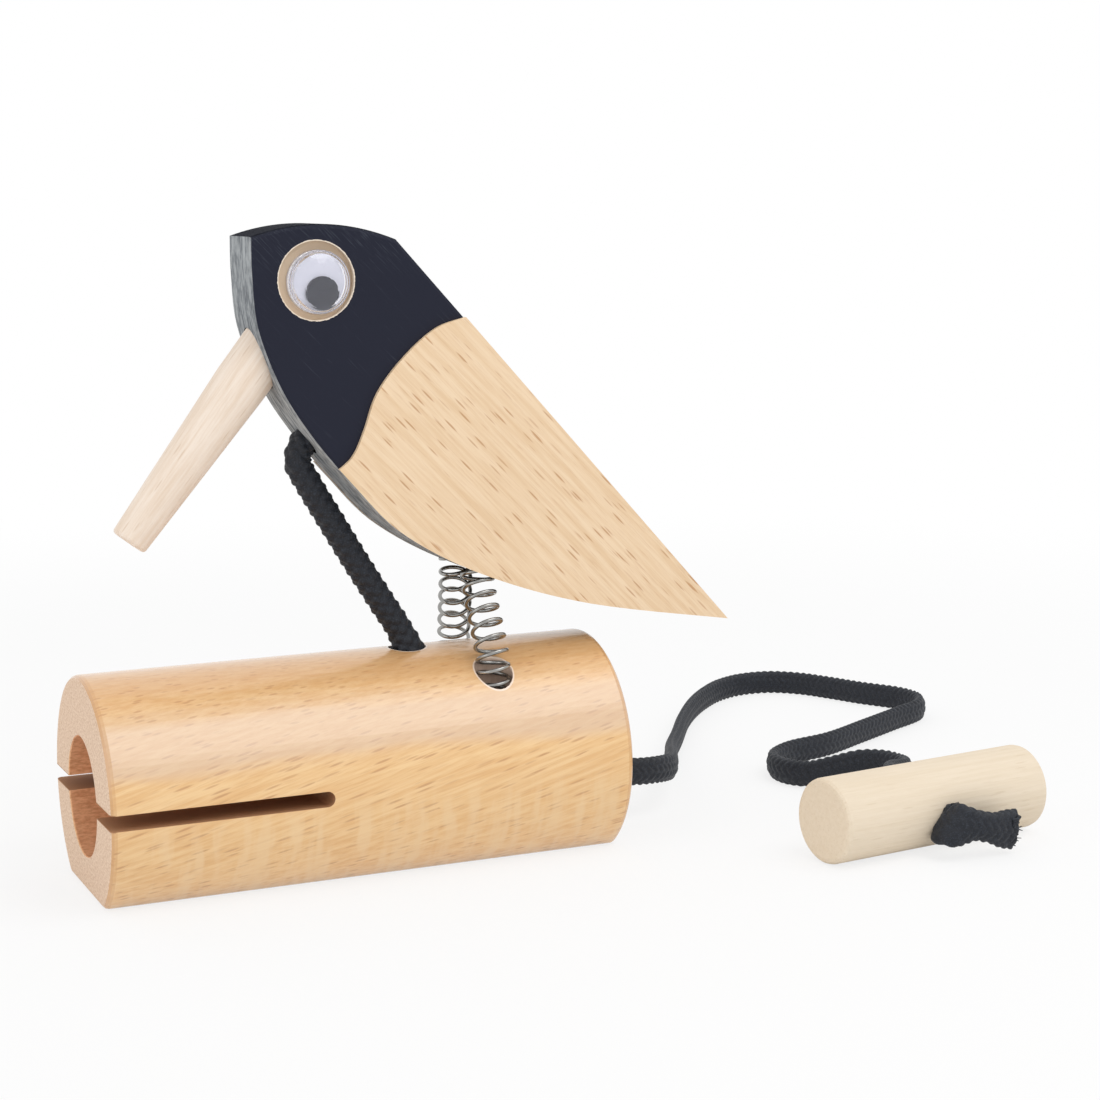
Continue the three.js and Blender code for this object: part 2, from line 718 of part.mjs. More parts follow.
knocker.add(piece('cord_tail', cordTailGeometry(), finish(0x23262c, 0.9)));
knocker.add(piece('toggle', toggleGeometry(), finish(0xeddcbf, 0.6)));

export default knocker;
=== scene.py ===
"""A wooden woodpecker knocker, dressed round its frame. Metres, +Z up, the bird looks along -X."""
import math
import random

import bpy
import numpy as np
from mathutils import Matrix, Vector

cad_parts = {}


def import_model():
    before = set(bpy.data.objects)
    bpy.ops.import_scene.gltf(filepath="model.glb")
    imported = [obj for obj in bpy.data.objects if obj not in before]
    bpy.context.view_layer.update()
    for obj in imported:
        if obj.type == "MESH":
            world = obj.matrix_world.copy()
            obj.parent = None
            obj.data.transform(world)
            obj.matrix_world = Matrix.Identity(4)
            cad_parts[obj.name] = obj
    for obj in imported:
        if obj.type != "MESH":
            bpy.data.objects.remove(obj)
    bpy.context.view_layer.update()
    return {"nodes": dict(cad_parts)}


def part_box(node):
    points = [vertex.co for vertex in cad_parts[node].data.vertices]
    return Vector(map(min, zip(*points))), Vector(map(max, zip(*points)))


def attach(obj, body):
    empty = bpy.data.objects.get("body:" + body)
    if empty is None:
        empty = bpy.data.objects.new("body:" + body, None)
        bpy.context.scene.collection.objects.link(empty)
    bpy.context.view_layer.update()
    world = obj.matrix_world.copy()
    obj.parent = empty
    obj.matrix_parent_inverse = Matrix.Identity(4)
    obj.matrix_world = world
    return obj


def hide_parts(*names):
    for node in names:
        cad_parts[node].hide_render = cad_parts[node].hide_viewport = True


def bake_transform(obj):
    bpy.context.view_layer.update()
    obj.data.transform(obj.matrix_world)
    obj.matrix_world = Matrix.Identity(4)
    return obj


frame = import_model()
nodes = frame["nodes"]

MM = 0.001

# Camera
CAMERA_PLACE = (-0.12827, -0.38308, 0.11546)
CAMERA_HEADING = math.radians(23.57)
CAMERA_DROP = math.radians(8.776)
CAMERA_ROLL = math.radians(-0.685)
CAMERA_LENS = 78.643
CAMERA_SENSOR = 36.0
CAMERA_CLIP = (0.01, 20)

# Tone block
BORE_RADIUS = 10 * MM
BORE_END = -0.5 * MM
SLIT_HALF_HEIGHT = 1.3 * MM
SLIT_END = -8.5 * MM
CORD_HOLE_RADIUS = 3.3 * MM
CORD_HOLE_X = 11.7 * MM
CORD_DUCT_HEIGHT = 11.2 * MM
SPRING_HOLE_RADIUS = 3.3 * MM
HOLE_RIM = 0.12 * MM
WALL_MARGIN = 0.08 * MM
HOLES_FROM_HEIGHT = (4 * MM, 5 * MM)
HOLE_WALL_DEPTH = (0.1 * MM, 0.4 * MM)
SLIT_WALL_DEPTH = (0.02 * MM, 0.1 * MM)
END_EDGE_FROM_BORE = (1 * MM, 2 * MM)

# Bands of the block's skin, by height above the middle of its round section
WANDER_HEIGHT = 5 * MM
RIPPLE_FADE = (2 * MM, -6 * MM)
# Painted highlight: a paler strip along the block's shoulder, standing in for the softbox's reflection
PAINTED_HIGHLIGHT_RISE = (7 * MM, 11 * MM)
PAINTED_HIGHLIGHT_FADE = (19 * MM, 15 * MM)
# Where the block turns darker towards its top
TOP_BAND_RISE = (15 * MM, 22 * MM)

# Springs, one on each side of the middle plane
SIDES = (("left", -1), ("right", 1))
SPRING_X = 23 * MM
SPRING_RADIUS = 2.65 * MM
SPRING_WIRE_RADIUS = 0.35 * MM
SPRING_PITCH = {"left": 2.26 * MM, "right": 2.38 * MM}
SPRING_FOOT_Y = 10.95 * MM
SPRING_HEAD_Y = 3.1 * MM
SPRING_FOOT_SHIFT = {"left": 0.3 * MM, "right": 1.6 * MM}
SPRING_HEAD_SHIFT = {"left": 0.6 * MM, "right": -0.8 * MM}
SPRING_START = {"left": math.radians(128), "right": math.radians(15)}
SPRING_LEAN_START = 32.5 * MM
SPRING_LEAN_END = 50.0 * MM
SPRING_STEPS_PER_CURL = 40
SPRING_SIDES = 12

# Bird
EYE_PLACE = (-4.9 * MM, 99.51 * MM)
EYE_RECESS_RADIUS = 6.5 * MM
EYE_RIM = 0.05 * MM
EYE_RIM_CHIPS = 0.25 * MM
EYE_RIM_DEPTH = (0.3 * MM, 0.6 * MM)
SCRATCHES_FROM_TOP = (10 * MM, 3 * MM)
WING_GRAIN = (math.cos(math.radians(-46)), 0, math.sin(math.radians(-46)))
BEAK_GRAIN = (math.cos(math.radians(51.7)), 0, math.sin(math.radians(51.7)))
TOGGLE_GRAIN = (math.cos(math.radians(7.74)), math.sin(math.radians(7.74)), 0)
BLOCK_GRAIN = (math.cos(math.radians(15)), 0, math.sin(math.radians(15)))

# Cords: half width and half thickness, the bend inside the block, and the steps along a cord
CHEST_CORD_HALF = 2.25 * MM
CHEST_CORD_FLARE = 2.95 * MM
DUCT_CORD_HALF = 2.1 * MM
DUCT_CORD_BEND = 5 * MM
DUCT_CORD_CORNER = 0.3
FREE_CORD_HALF_WIDTH = 2.45 * MM
FREE_CORD_HALF_THICKNESS = 1.2 * MM
TAIL_SWELL = 1.2
CORD_STEP = 0.28 * MM
SPLINE_STEPS = 24

# Braids: strands round the cord, a strand's step along it, relief, and strands passed over at a time
FLAT_BRAID = {"strands": 8, "pitch": 1.5 * MM, "depth": 0.32 * MM, "over": 2}
TAIL_BRAID = {"strands": 8, "pitch": 1.5 * MM, "depth": 0.34 * MM, "over": 2}
ROUND_BRAID = {"strands": 5, "pitch": 2.05 * MM, "depth": 0.5 * MM, "over": 1}
BRAID_SIDES = 48
OVAL_STEPS = 720
BRAID_MIDDLE = 0.6
STRAND_FULLNESS = 0.7
STRAND_SINK = 0.6

# Frayed end: each thread's length and radius, and how threads spread, lean, vary in length and bend
FRAY_SEED = 11
FRAY_THREADS = ((1.9 * MM, 0.5 * MM), (2.3 * MM, 0.2 * MM), (2.6 * MM, 0.14 * MM))
FRAY_SPREAD = (0.4, 0.9)
FRAY_LEAN = (0.05, 0.5)
FRAY_LENGTH = (0.6, 1.0)
FRAY_BEND = 0.3 * MM
FRAY_ROOT = 1.0 * MM
FRAY_LOWEST = 0.5 * MM
FRAY_AIM_STEPS = 5
FRAY_RING_BACK = 2
FRAY_SPOT_STEP = 3
THREAD_STEP = 0.35 * MM
THREAD_SPLINE_STEPS = 6
THREAD_SIDES = 5
THREAD_ASIDE = (0.31, 0.53, 0.79)
THREAD_TAPER = 0.6

# Route of the free pull cord, from the block's rear end over the floor to the middle of the toggle
PULL_ROUTE = [
    (0.0395, 0, 0.0103),
    (0.0455, 0, 0.0103),
    (0.0508, 0, 0.0096),
    (0.0559, 0.0002, 0.009),
    (0.0605, 0.0018, 0.0085),
    (0.0643, 0.005, 0.0078),
    (0.0674, 0.0098, 0.0069),
    (0.0706, 0.0162, 0.006),
    (0.0746, 0.0244, 0.0046),
    (0.0794, 0.0338, 0.0034),
    (0.0864, 0.0454, 0.0026),
    (0.0942, 0.058, 0.00255),
    (0.1018, 0.0686, 0.00255),
    (0.1085, 0.0762, 0.00255),
    (0.1152, 0.0821, 0.00255),
    (0.1224, 0.0854, 0.00255),
    (0.1294, 0.085, 0.00255),
    (0.1347, 0.0806, 0.00255),
    (0.1384, 0.0738, 0.00255),
    (0.1419, 0.0658, 0.00255),
    (0.1467, 0.0567, 0.00255),
    (0.147, 0.0506, 0.00255),
    (0.1442, 0.0458, 0.00255),
    (0.135, 0.0404, 0.00255),
    (0.123, 0.0336, 0.00255),
    (0.1106, 0.0268, 0.00255),
    (0.1002, 0.0237, 0.00255),
    (0.0947, 0.0197, 0.00255),
    (0.0925, 0.0149, 0.00255),
    (0.0929, 0.0102, 0.00255),
    (0.0953, 0.0061, 0.0029),
    (0.0989, 0.0031, 0.0042),
    (0.1027, 0.0003, 0.0055),
    (0.1053, -0.0035, 0.006),
    (0.106, -0.0085, 0.0062),
    (0.1039, -0.0139, 0.0069),
    (0.0986, -0.0187, 0.0082),
    (0.0944, -0.0231, 0.0093),
    (0.09238, -0.02946, 0.00924),
    (0.09333, -0.03643, 0.00749),
]

# Route of the cord's short end, from the middle of the toggle to its frayed tip
TAIL_ROUTE = [
    (0.09337, -0.03671, 0.00741),
    (0.0939, -0.0424, 0.0062),
    (0.0922, -0.0449, 0.0061),
    (0.093, -0.0472, 0.0062),
    (0.0967, -0.048, 0.0058),
    (0.0994, -0.0481, 0.0051),
    (0.102, -0.0477, 0.0045),
    (0.1044, -0.0473, 0.0041),
]

# At each point of that route: the cord's half width, and the lean of its width to the rear, in degrees
TAIL_HALF_WIDTHS = [MM * half for half in (2.2, 2.4, 4.0, 3.9, 2.6, 2.6, 3.3, 3.5)]
TAIL_LEANS = [0, 15, 36, 34, 8, 0, 0, 0]

# Route of the chest cord, from inside the bird's chest down into the block's top hole
CHEST_ROUTE = [
    (1.0 * MM, 0, 78.3 * MM),
    (-3.2 * MM, 0, 75.0 * MM),
    (-6.0 * MM, 0, 72.4 * MM),
    (-7.0 * MM, 0, 69.2 * MM),
    (-5.2 * MM, 0, 65.4 * MM),
    (-1.4 * MM, 0, 58.8 * MM),
    (2.8 * MM, 0, 51.6 * MM),
    (7.2 * MM, 0, 44.4 * MM),
    (10.6 * MM, 0, 38.8 * MM),
    (12.2 * MM, 0, 34.4 * MM),
    (12.3 * MM, 0, 29.7 * MM),
]

# Patterns: cells per metre along the grain and across it, or along x, y and z
WOOD_STREAKS = (60, 1300, 1300)
WOOD_FIBRES = (260, 5200, 5200)
WOOD_FLECKS = (150, 1500, 1500)
BLOCK_WANDER = (25, 200, 200)
BLOCK_RIPPLE = (420, 90, 90)
END_PORES = (900, 1500, 2600)
BORE_FUZZ = (700, 2200, 2200)
EDGE_LAYERS = (60, 1500, 60)
EDGE_PATCHES = (420, 700, 420)
PAINT_STREAKS = (120, 2400, 2400)
PAINT_SCRATCHES = (260, 5200, 5200)
PAINT_CHIPS = (2600, 2600, 2600)
CORD_FIBRES = (3800, 3800, 3800)
WIRE_MARKS = (1600, 1600, 500)
EYE_CLOUD = (300, 300, 300)
DOME_HAZE = (700, 700, 700)
PUPIL_CLOUD = (900, 900, 900)

# Where in its range a pattern begins to show and where it shows in full
WOOD_STREAKS_SHOW = (0.3, 0.72)
WOOD_FIBRES_SHOW = (0.5, 0.8)
WOOD_FLECKS_SHOW = (0.05, 0.75)
BLOCK_RIPPLE_SHOW = (0.42, 0.68)
END_PORES_SHOW = (0.35, 0.7)
BORE_FUZZ_SHOW = (0.35, 0.7)
EDGE_WEAR_SHOW = (0.36, 0.64)
PAINT_STREAKS_SHOW = (0.6, 0.85)
PAINT_SCRATCHES_SHOW = (0.52, 0.72)
SAWN_STREAKS_SHOW = (0.35, 0.65)
CORD_FIBRES_SHOW = (0.45, 0.75)

# How far a surface faces along an axis, -1 to 1, where a look begins and where it is full
END_EDGE_FACING = (0.1, 0.4)
END_FACING = (0.85, 0.97)
BOARD_EDGE_FACING = (0.75, 0.45)
FRONT_FACING = (-0.15, -0.4)
BREAST_FACING = (-0.1, -0.35)
NOT_CROWN_FACING = (0.75, 0.45)

# How much of a pattern or a band shows, from 0 to 1
FIBRE_SHARE = 0.18
FIBRE_RELIEF = 0.35
FLECK_CORE = 0.4
RIPPLE_SHARE = 0.65
# painted highlight along the block's shoulder
PAINTED_HIGHLIGHT_SHARE = 0.55
# darker band along the top of the block
TOP_BAND_SHARE = 0.5
END_EDGE_SHARE = 0.7
# pale rim round the holes: partly bare wood at the lip, partly a painted highlight
RIM_AND_HIGHLIGHT_SHARE = 0.8

# Roughness of surfaces, from 0 for a mirror to 1
VARNISH_ROUGHNESS = 0.42
BARE_BLOCK_ROUGHNESS = 0.77
PAINT_ROUGHNESS = 0.5
PAINT_EDGE_ROUGHNESS = 0.9
DOME_HAZE_ROUGHNESS = 0.08

# Stage
WORLD_FILL = 0.79
SOFTBOX = {"place": (0.23, -0.317, 0.589), "aim": (0.0, 0, 0.03), "size": (0.52, 0.41), "watts": 1.35}
SIDE_FILL = {"place": (-0.75, -0.2, 0.3), "aim": (0.0, 0, 0.05), "size": (0.5, 0.5), "watts": 0.8}
FLOOR_RADIUS = 3
FLOOR_SIDES = 96
FLOOR_SINK = 0.02 * MM
FLOOR_TONE = (0.88, 0.88, 0.88, 1)
FLOOR_GLOW_NEAR = 0.78
FLOOR_GLOW_FAR = 1.0
FLOOR_GLOW_REACH = (0.2, 0.45)


def srgb(red, green, blue):
    """A colour written as it looks on screen, 0 to 255, as linear light."""
    shares = [value / 255 for value in (red, green, blue)]
    linear = [s / 12.92 if s <= 0.04045 else ((s + 0.055) / 1.055) ** 2.4 for s in shares]
    return (*linear, 1.0)


# Woods: direction of the grain, tones (pale, deep, fleck), and strength and size of the flecks
BLOCK_WOOD = {
    "axis": BLOCK_GRAIN,
    "tones": (srgb(242, 204, 150), srgb(230, 183, 124), srgb(188, 132, 84)),
    "fleck_share": 0.62,
    "fleck_size": 0.38,
}
WING_WOOD = {
    "axis": WING_GRAIN,
    "tones": (srgb(243, 217, 184), srgb(232, 201, 163), srgb(180, 122, 70)),
    "fleck_share": 0.62,
    "fleck_size": 0.31,
}
BEAK_WOOD = {
    "axis": BEAK_GRAIN,
    "tones": (srgb(244, 229, 214), srgb(233, 213, 193), srgb(204, 176, 148)),
    "fleck_share": 0.4,
    "fleck_size": 0.26,
}
TOGGLE_WOOD = {
    "axis": TOGGLE_GRAIN,
    "tones": (srgb(236, 221, 199), srgb(231, 215, 191), srgb(208, 186, 156)),
    "fleck_share": 0.3,
    "fleck_size": 0.26,
}

# Other tones
RIPPLE_TONE = srgb(241, 208, 160)
# painted highlight along the block's shoulder, standing in for the softbox's reflection
PAINTED_HIGHLIGHT_TONE = srgb(218, 191, 170)
# darker band along the top of the block
TOP_BAND_TONE = srgb(210, 154, 102)
END_EDGE_TONE = srgb(204, 152, 100)
END_TONES = (srgb(238, 212, 188), srgb(208, 174, 144))
SLIT_TONE = srgb(176, 130, 94)
# pale rim round the holes: partly bare wood at the lip, partly a painted highlight
RIM_AND_HIGHLIGHT_TONE = srgb(248, 228, 210)
HOLE_TONE = srgb(206, 180, 162)
BORE_TONES = (srgb(238, 182, 138), srgb(206, 146, 104))
WORN_TONES = (srgb(108, 112, 117), srgb(176, 180, 182))
PAINT_TONES = (srgb(41, 43, 55), srgb(62, 65, 76))
SCRATCH_TONE = srgb(60, 64, 74)
SAWN_TONES = (srgb(24, 26, 33), srgb(40, 42, 50))
RECESS_TONES = (srgb(242, 228, 210), srgb(224, 204, 180))
CORD_TONES = (srgb(15, 19, 28), srgb(46, 53, 65))
STEEL_TONES = (srgb(134, 133, 130), srgb(172, 171, 168))
EYE_WHITE_TONES = (srgb(220, 221, 232), srgb(227, 228, 238))
EYE_CLEAR_TONE = srgb(252, 252, 255)
PUPIL_TONES = (srgb(32, 35, 48), srgb(42, 46, 60))


# Shapes

def spline(points, per_segment=SPLINE_STEPS):
    """A centripetal Catmull-Rom curve through points."""
    points = np.array(points, float)
    before = 2 * points[0] - points[1]
    after = 2 * points[-1] - points[-2]
    padded = np.vstack([before, points, after])
    share = np.linspace(0, 1, per_segment, endpoint=False)[:, None]
    runs = []
    for a, b, c, d in zip(padded, padded[1:], padded[2:], padded[3:]):
        first, middle, last = (math.sqrt(np.linalg.norm(v)) for v in (b - a, c - b, d - c))
        leave = middle * ((b - a) / first - (c - a) / (first + middle)) + (c - b)
        reach = middle * ((d - c) / last - (d - b) / (middle + last)) + (c - b)
        square = -3 * b + 3 * c - 2 * leave - reach
        cube = 2 * b - 2 * c + leave + reach
        runs.append(b + share * leave + share ** 2 * square + share ** 3 * cube)
    return np.vstack([*runs, points[-1:]])


def lengths(points):
    """The length of a line up to each of its points."""
    gaps = np.linalg.norm(np.diff(points, axis=0), axis=1)
    return np.concatenate([[0], np.cumsum(gaps)])


def evenly(points, step):
    """The same line with its points a step apart, and the length at each of them."""
    along = lengths(points)
    at = np.linspace(0, along[-1], int(along[-1] / step) + 1)
    return np.stack([np.interp(at, along, points[:, k]) for k in range(3)], axis=1), at


def unit(vectors):
    return vectors / np.linalg.norm(vectors, axis=-1, keepdims=True)


def mesh_object(name, verts, faces):
    mesh = bpy.data.meshes.new(name)
    mesh.from_pydata([tuple(v) for v in verts], [], faces)
    mesh.polygons.foreach_set("use_smooth", [True] * len(mesh.polygons))
    mesh.update()
    piece = bpy.data.objects.new(name, mesh)
    bpy.context.scene.collection.objects.link(piece)
    return piece


def tube_faces(rings, sides, first=0):
    """Faces of a tube of rings of points, closed at both ends."""
    faces = []
    for i in range(rings - 1):
        for k in range(sides):
            a = first + i * sides + k
            b = first + i * sides + (k + 1) % sides
            faces.append((a, b, b + sides, a + sides))
    faces.append(tuple(first + k for k in reversed(range(sides))))
    faces.append(tuple(first + (rings - 1) * sides + k for k in range(sides)))
    return faces


def oval(half_width, half_thickness, count):
    """Points of an oval, evenly spaced round it, with their outward directions."""
    turn = np.linspace(0, 2 * math.pi, OVAL_STEPS + 1)
    line = np.stack([half_width * np.cos(turn), half_thickness * np.sin(turn)], axis=1)
    along = lengths(line)
    at = np.interp(np.arange(count) / count * along[-1], along, turn)
    spots = np.stack([half_width * np.cos(at), half_thickness * np.sin(at)], axis=1)
    outward = unit(np.stack([np.cos(at) / half_width, np.sin(at) / half_thickness], axis=1))
    return spots, outward


def braid_relief(plus, minus, over):
    """Relief of a braid, from 0 to 1, where each strand passes over and under a number of others."""
    on_top = (np.floor(plus) + np.floor(minus)) % (2 * over) < over
    across = np.where(on_top, plus, minus) % 1 - 0.5
    plus_run = (np.floor(plus) + minus) % (2 * over) / over - 0.5
    minus_run = (plus + np.floor(minus) - over) % (2 * over) / over - 0.5
    run = np.where(on_top, plus_run, minus_run)
    crest = 1 - STRAND_SINK + STRAND_SINK * np.cos(math.pi * run)
    return np.cos(math.pi * across) ** STRAND_FULLNESS * crest


def braid_rings(path, along, widths, thicknesses, upright, strands, pitch, depth, over):
    """Rings of points of a braided cord along a path, its width held towards the upright direction."""
    tangent = unit(np.gradient(path, axis=0))
    upright = np.broadcast_to(np.array(upright, float), path.shape)
    wide = unit(upright - (upright * tangent).sum(1, keepdims=True) * tangent)
    thick = np.cross(tangent, wide)
    count = np.arange(BRAID_SIDES) / BRAID_SIDES * strands
    rings = []
    for i, length in enumerate(along):
        spots, outward = oval(widths[i], thicknesses[i], BRAID_SIDES)
        relief = braid_relief(count + length / pitch, count - length / pitch, over)
        flat = spots + outward * (depth * (relief - BRAID_MIDDLE))[:, None]
        rings.append(path[i] + flat[:, :1] * wide[i] + flat[:, 1:] * thick[i])
    return np.array(rings)


def tube_piece(name, rings):
    return mesh_object(name, rings.reshape(-1, 3), tube_faces(rings.shape[0], rings.shape[1]))


def pull_cord():
    """The free cord: a flat braid that stands on its edge and lies in loose bends to the toggle."""
    path, along = evenly(spline(PULL_ROUTE), CORD_STEP)
    widths = np.full(len(along), FREE_CORD_HALF_WIDTH)
    thicknesses = np.full(len(along), FREE_CORD_HALF_THICKNESS)
    rings = braid_rings(path, along, widths, thicknesses, (0, 0, 1), **FLAT_BRAID)
    piece = tube_piece("pull_cord_braid", rings)
    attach(piece, "pull")
    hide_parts("pull_cord")
    return piece, path, along[-1]


def cord_tail():
    """The cord's short end: it folds over at the toggle's hole, spreads and frays where it was cut."""
    line = spline(TAIL_ROUTE)
    path, along = evenly(line, CORD_STEP)
    marks = lengths(line)[::SPLINE_STEPS]
    widths = np.interp(along, marks, TAIL_HALF_WIDTHS)
    thicknesses = FREE_CORD_HALF_THICKNESS * np.interp(along, marks[[0, -1]], [1.0, TAIL_SWELL])
    lean = np.radians(np.interp(along, marks, TAIL_LEANS))
    upright = np.stack([np.sin(lean), np.zeros_like(lean), np.cos(lean)], axis=1)
    rings = braid_rings(path, along, widths, thicknesses, upright, **TAIL_BRAID)
    verts = list(rings.reshape(-1, 3))
    faces = tube_faces(rings.shape[0], rings.shape[1])
    fray(verts, faces, path, rings)
    piece = mesh_object("cord_tail_frayed", verts, faces)
    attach(piece, "pull")
    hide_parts("cord_tail")
    return piece


def fray(verts, faces, path, rings):
    """Threads that stand out of the cord's cut end, added to a list of points and faces."""
    draw = random.Random(FRAY_SEED)
    tip = path[-1]
    ahead = unit(tip - path[-1 - FRAY_AIM_STEPS])
    for spot in rings[-1 - FRAY_RING_BACK][::FRAY_SPOT_STEP]:
        for reach, radius in FRAY_THREADS:
            start = tip + (spot - tip) * draw.uniform(*FRAY_SPREAD) - ahead * FRAY_ROOT
            lean = unit(spot - tip) * draw.uniform(*FRAY_LEAN)
            end = start + unit(ahead + lean) * reach * draw.uniform(*FRAY_LENGTH)
            end[2] = max(end[2], FRAY_LOWEST)
            bend = unit(np.array([draw.uniform(-1, 1) for _ in range(3)])) * FRAY_BEND
            add_thread(verts, faces, [start, (start + end) / 2 + bend, end], radius)


def add_thread(verts, faces, points, radius):
    """A thin tapered thread, added to a list of points and faces."""
    line, _ = evenly(spline(points, THREAD_SPLINE_STEPS), THREAD_STEP)
    tangent = unit(np.gradient(line, axis=0))
    side = unit(np.cross(tangent, THREAD_ASIDE))
    other = np.cross(tangent, side)
    first = len(verts)
    for i, spot in enumerate(line):
        size = radius * (1 - THREAD_TAPER * i / (len(line) - 1))
        for k in range(THREAD_SIDES):
            turn = 2 * math.pi * k / THREAD_SIDES
            verts.append(spot + size * (math.cos(turn) * side[i] + math.sin(turn) * other[i]))
    faces.extend(tube_faces(len(line), THREAD_SIDES, first))


def held_cord(name, route, halves):
    """A stretch of round braided cord in the middle plane, with its half width along its route."""
    line = spline(route)
    path, along = evenly(line, CORD_STEP)
    half = np.interp(along, lengths(line)[::SPLINE_STEPS], halves)
    rings = braid_rings(path, along, half, half, (0, 1, 0), **ROUND_BRAID)
    return tube_piece(name, rings)


def chest_cord():
    """The cord from the bird's chest, spread where it is drawn into the block's top hole."""
    halves = [CHEST_CORD_HALF] * (len(CHEST_ROUTE) - 2) + [CHEST_CORD_FLARE] * 2
    piece = held_cord("chest_cord_braid", CHEST_ROUTE, halves)
    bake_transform(piece)
    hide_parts("chest_cord")
    return piece


def duct_cord():
    """The cord inside the block: down from the top hole and round to the rear end."""
    low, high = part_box("duct_cord")
    shaft = low.x + DUCT_CORD_HALF
    floor_height = low.z + DUCT_CORD_HALF
    corner = DUCT_CORD_BEND * DUCT_CORD_CORNER
    route = [
        (shaft, 0, high.z),
        (shaft, 0, (high.z + floor_height) / 2),
        (shaft, 0, floor_height + DUCT_CORD_BEND),
        (shaft + corner, 0, floor_height + corner),
        (shaft + DUCT_CORD_BEND, 0, floor_height),
        ((shaft + high.x) / 2, 0, floor_height),
        (high.x, 0, floor_height),
    ]
    piece = held_cord("duct_cord_braid", route, [DUCT_CORD_HALF] * len(route))
    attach(piece, "block")
    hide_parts("duct_cord")
    return piece


def spring_middle(side_name, side, height):
    """A spring's middle line: upright in its hole, leaning in and upright again in the bird's slot."""
    lean = np.clip((height - SPRING_LEAN_START) / (SPRING_LEAN_END - SPRING_LEAN_START), 0, 1)
    lean = lean * lean * (3 - 2 * lean)
    foot_x = SPRING_X + SPRING_FOOT_SHIFT[side_name]
    head_x = SPRING_X + SPRING_HEAD_SHIFT[side_name]
    middle_x = foot_x + (head_x - foot_x) * lean
    middle_y = side * (SPRING_FOOT_Y + (SPRING_HEAD_Y - SPRING_FOOT_Y) * lean)
    return np.stack([middle_x, middle_y, height], axis=1)


def coil_rings(middle, turn):
    """Rings of points of a round wire that winds about a middle line."""
    rise = unit(np.gradient(middle, axis=0))
    aside = unit(np.cross(rise, (1, 0, 0)))
    across = np.cross(aside, rise)
    outward = np.cos(turn) * across + np.sin(turn) * aside
    path = middle + SPRING_RADIUS * outward
    tangent = unit(np.gradient(path, axis=0))
    binormal = unit(np.cross(tangent, outward))
    normal = np.cross(binormal, tangent)
    angles = (2 * math.pi * np.arange(SPRING_SIDES) / SPRING_SIDES)[None, :, None]
    return (
        path[:, None, :]
        + SPRING_WIRE_RADIUS * np.cos(angles) * normal[:, None, :]
        + SPRING_WIRE_RADIUS * np.sin(angles) * binormal[:, None, :]
    )


def spring(side_name, side):
    """A coil spring between the block and the bird, bending where it stands free."""
    low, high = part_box(f"spring_{side_name}")
    foot = low.z + SPRING_WIRE_RADIUS
    head = high.z - SPRING_WIRE_RADIUS
    curls = (head - foot) / SPRING_PITCH[side_name]
    share = np.linspace(0, 1, int(curls * SPRING_STEPS_PER_CURL) + 1)
    middle = spring_middle(side_name, side, foot + (head - foot) * share)
    turn = SPRING_START[side_name] + 2 * math.pi * curls * share
    piece = tube_piece(f"spring_{side_name}_coil", coil_rings(middle, turn[:, None]))
    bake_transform(piece)
    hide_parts(f"spring_{side_name}")
    return piece


# Materials

